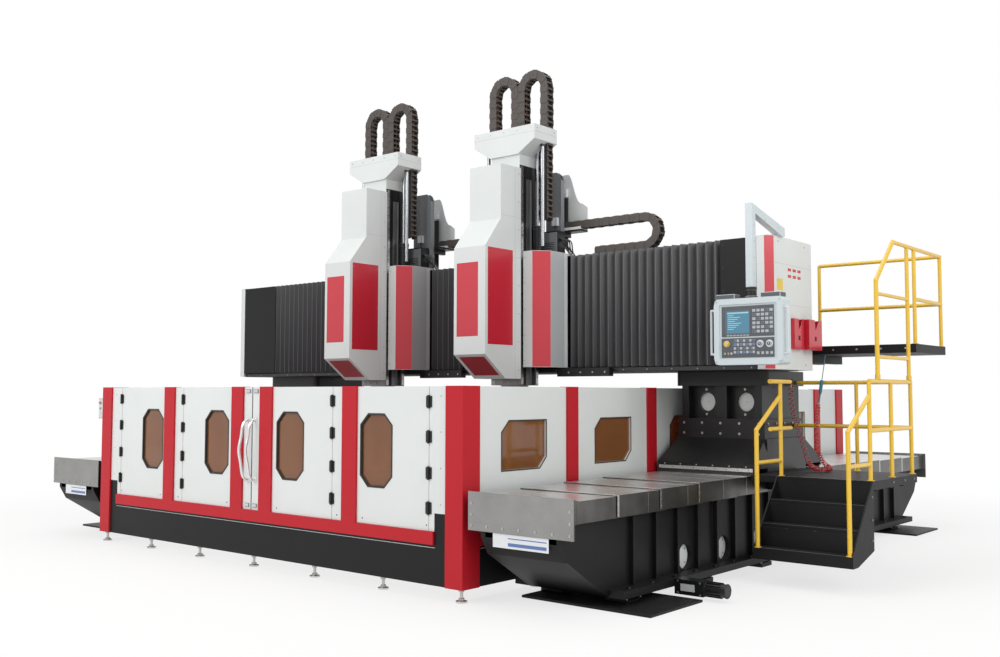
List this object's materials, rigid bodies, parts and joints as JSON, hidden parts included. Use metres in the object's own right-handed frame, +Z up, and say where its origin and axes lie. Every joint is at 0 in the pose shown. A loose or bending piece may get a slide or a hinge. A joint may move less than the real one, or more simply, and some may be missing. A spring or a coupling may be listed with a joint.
{
  "type": "double column machining center",
  "caption": "Travelling-bridge double column machining center with two vertical heads, guarded worktable, telescopic way covers, operator platforms and pendant.",
  "frame": {"origin": "on the floor under the middle of the worktable, the middle of its bottom face", "axes": "+X along the crossbeam towards the operator's platform, +Y from the front doors to the back, +Z up"},
  "size_m": [9.354, 8.0303, 5.2906],
  "materials": {
    "machined_iron": "ground and lightly oiled",
    "black_paint": "semi-gloss black",
    "red_paint": "gloss red",
    "white_paint": "satin off-white",
    "yellow_paint": "gloss yellow",
    "grey_paint": "satin light grey",
    "tinted_glass": "clear bronze tint",
    "bright_steel": "satin",
    "stainless": "brushed, oiled",
    "bellows_cloth": "matte coated cloth",
    "chain_plastic": "matte moulded black",
    "hose_plastic": "translucent red hose",
    "gun_plastic": "satin blue-green"
  },
  "bodies": {
    "base": {"worktable": "machined_iron", "guard_base": "black_paint", "guard_frame": "red_paint", "front_leaves": "white_paint", "rear_panels": "white_paint", "side_panels": "white_paint", "guard_windows": "tinted_glass", "guard_feet": "bright_steel", "leaf_hinges": "black_paint", "door_handles": "bright_steel", "button_box": "grey_paint", "beds": "black_paint", "bed_feet": "black_paint", "floor_motor": "black_paint", "fixed_way_covers": "stainless"},
    "front_cover_1": {"front_way_cover_1": "stainless"},
    "front_cover_2": {"front_way_cover_2": "stainless"},
    "rear_cover_1": {"rear_way_cover_1": "stainless"},
    "rear_cover_2": {"rear_way_cover_2": "stainless"},
    "gantry": {"columns": "black_paint", "moving_way_covers": "stainless", "crossbeam": "black_paint", "beam_end_covers": "white_paint", "left_bellows": "bellows_cloth", "middle_left_bellows": "bellows_cloth", "middle_right_bellows": "bellows_cloth", "right_bellows": "bellows_cloth", "pendant_arm": "grey_paint", "lower_platform": "black_paint", "stair": "black_paint", "lower_railing": "yellow_paint", "upper_platform": "black_paint", "upper_railing": "yellow_paint", "tool_holders": "red_paint", "air_hose": "hose_plastic", "air_gun": "gun_plastic"},
    "left_saddle": {"left_saddle": "black_paint", "left_saddle_cover": "white_paint", "left_chain_trough": "white_paint", "left_saddle_chain": "chain_plastic"},
    "left_head": {"left_ram": "machined_iron", "left_head_cover": "white_paint", "left_head_cap": "white_paint", "left_ram_chains": "chain_plastic"},
    "right_saddle": {"right_saddle": "black_paint", "right_saddle_cover": "white_paint", "right_chain_trough": "white_paint", "right_saddle_chain": "chain_plastic"},
    "right_head": {"right_ram": "machined_iron", "right_head_cover": "white_paint", "right_head_cap": "white_paint", "right_ram_chains": "chain_plastic"},
    "pendant": {"pendant_housing": "grey_paint"}
  },
  "joints": [
    {"name": "gantry_travel", "type": "slide", "parent": "base", "child": "gantry", "axis": [0, 1, 0], "range_m": [-1.5, 2.05]},
    {"name": "front_cover_1_slide", "type": "slide", "parent": "base", "child": "front_cover_1", "axis": [0, 1, 0], "range_m": [-0.501, 0.6843]},
    {"name": "front_cover_2_slide", "type": "slide", "parent": "base", "child": "front_cover_2", "axis": [0, 1, 0], "range_m": [-1.001, 1.3677]},
    {"name": "rear_cover_1_slide", "type": "slide", "parent": "base", "child": "rear_cover_1", "axis": [0, 1, 0], "range_m": [-0.501, 0.6843]},
    {"name": "rear_cover_2_slide", "type": "slide", "parent": "base", "child": "rear_cover_2", "axis": [0, 1, 0], "range_m": [-1.001, 1.3677]},
    {"name": "left_saddle_slide", "type": "slide", "parent": "gantry", "child": "left_saddle", "axis": [1, 0, 0], "range_m": [-1.45, 0.375], "deforming": ["left_bellows", "middle_left_bellows"]},
    {"name": "left_head_slide", "type": "slide", "parent": "left_saddle", "child": "left_head", "axis": [0, 0, 1], "range_m": [-0.75, 0.08]},
    {"name": "right_saddle_slide", "type": "slide", "parent": "gantry", "child": "right_saddle", "axis": [1, 0, 0], "range_m": [-0.375, 1], "deforming": ["right_bellows", "middle_right_bellows"]},
    {"name": "right_head_slide", "type": "slide", "parent": "right_saddle", "child": "right_head", "axis": [0, 0, 1], "range_m": [-0.75, 0.08]},
    {"name": "pendant_swivel", "type": "hinge", "parent": "gantry", "child": "pendant", "pos_m": [4.175, -1.52, 2.6], "axis": [0, 0, 1], "range_deg": [-90, 90]}
  ],
  "couplings": [
    {"joint": "front_cover_1_slide", "follows": "gantry_travel", "ratio": 0.33333},
    {"joint": "front_cover_2_slide", "follows": "gantry_travel", "ratio": 0.66667},
    {"joint": "rear_cover_1_slide", "follows": "gantry_travel", "ratio": 0.33333},
    {"joint": "rear_cover_2_slide", "follows": "gantry_travel", "ratio": 0.66667}
  ]
}
